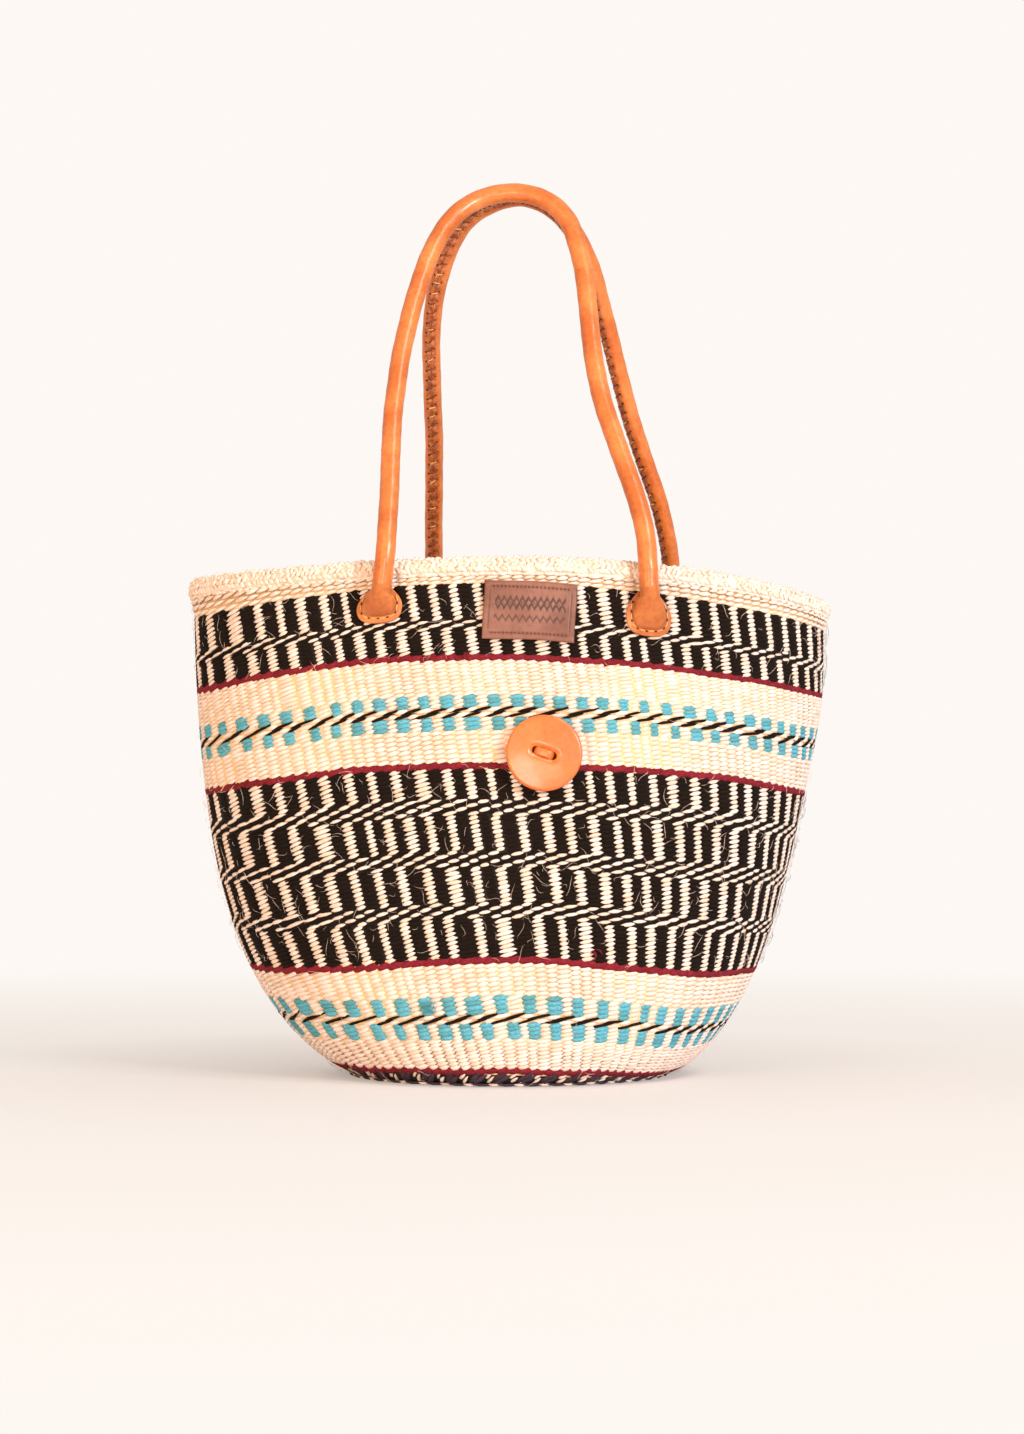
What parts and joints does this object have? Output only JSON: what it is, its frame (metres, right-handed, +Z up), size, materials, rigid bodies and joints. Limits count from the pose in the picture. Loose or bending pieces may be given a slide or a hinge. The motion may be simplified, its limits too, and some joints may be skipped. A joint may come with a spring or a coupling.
{
  "type": "kiondo basket",
  "caption": "Oval twined sisal basket with a bound rim, two long rolled leather handles, a leather label and a laced leather button with a closing strap.",
  "frame": {"origin": "middle of the underside of the base, on the surface that the basket stands on", "axes": "+Z up, -Y towards the front with the button and label, +X to the right as seen from the front"},
  "size_m": [0.3788, 0.2362, 0.5236],
  "materials": {
    "sisal": "natural sisal and dyed wool yarn, twined",
    "tan_leather": "smooth tan leather with a soft shine",
    "brown_leather": "dark reddish brown leather",
    "dark_thread": "waxed brown thread",
    "pale_thread": "pale waxed thread",
    "rope": "twisted sisal rope"
  },
  "bodies": {
    "basket": {"woven_basket": "sisal", "rim_binding": "sisal", "front_left_tab": "tan_leather", "front_left_tab_thread": "pale_thread", "front_left_backing_patch": "tan_leather", "front_right_tab": "tan_leather", "front_right_tab_thread": "pale_thread", "front_right_backing_patch": "tan_leather", "back_left_tab": "tan_leather", "back_left_tab_thread": "pale_thread", "back_left_backing_patch": "tan_leather", "back_right_tab": "tan_leather", "back_right_tab_thread": "pale_thread", "back_right_backing_patch": "tan_leather", "label_patch": "brown_leather", "label_top_thread": "dark_thread", "label_bottom_thread": "dark_thread", "button_lace": "tan_leather", "closure_anchor": "tan_leather", "closure_anchor_thread": "pale_thread"},
    "front_handle": {"front_handle_cover": "tan_leather", "front_handle_core": "rope", "front_handle_seam_thread": "dark_thread"},
    "back_handle": {"back_handle_cover": "tan_leather", "back_handle_core": "rope", "back_handle_seam_thread": "dark_thread"},
    "closure_strap": {"closure_strap": "tan_leather"},
    "button": {"button": "tan_leather"}
  },
  "joints": [
    {"name": "front_handle_swing", "type": "hinge", "parent": "basket", "child": "front_handle", "pos_m": [-0.07043, -0.10671, 0.27865], "axis": [0.9999, 0.0115, -0.0064], "range_deg": [0, 150]},
    {"name": "back_handle_swing", "type": "hinge", "parent": "basket", "child": "back_handle", "pos_m": [-0.04726, 0.11094, 0.27955], "axis": [-0.9959, 0.0865, 0.0259], "range_deg": [0, 150]},
    {"name": "closure_strap_swing", "type": "hinge", "parent": "basket", "child": "closure_strap", "pos_m": [0.01844, 0.09571, 0.27347], "axis": [-0.9983, 0.058, 0], "range_deg": [0, 150]},
    {"name": "button_rock", "type": "hinge", "parent": "basket", "child": "button", "pos_m": [0.01939, -0.11466, 0.18709], "axis": [0.945, 0.0484, -0.3235], "range_deg": [-6, 6]}
  ]
}
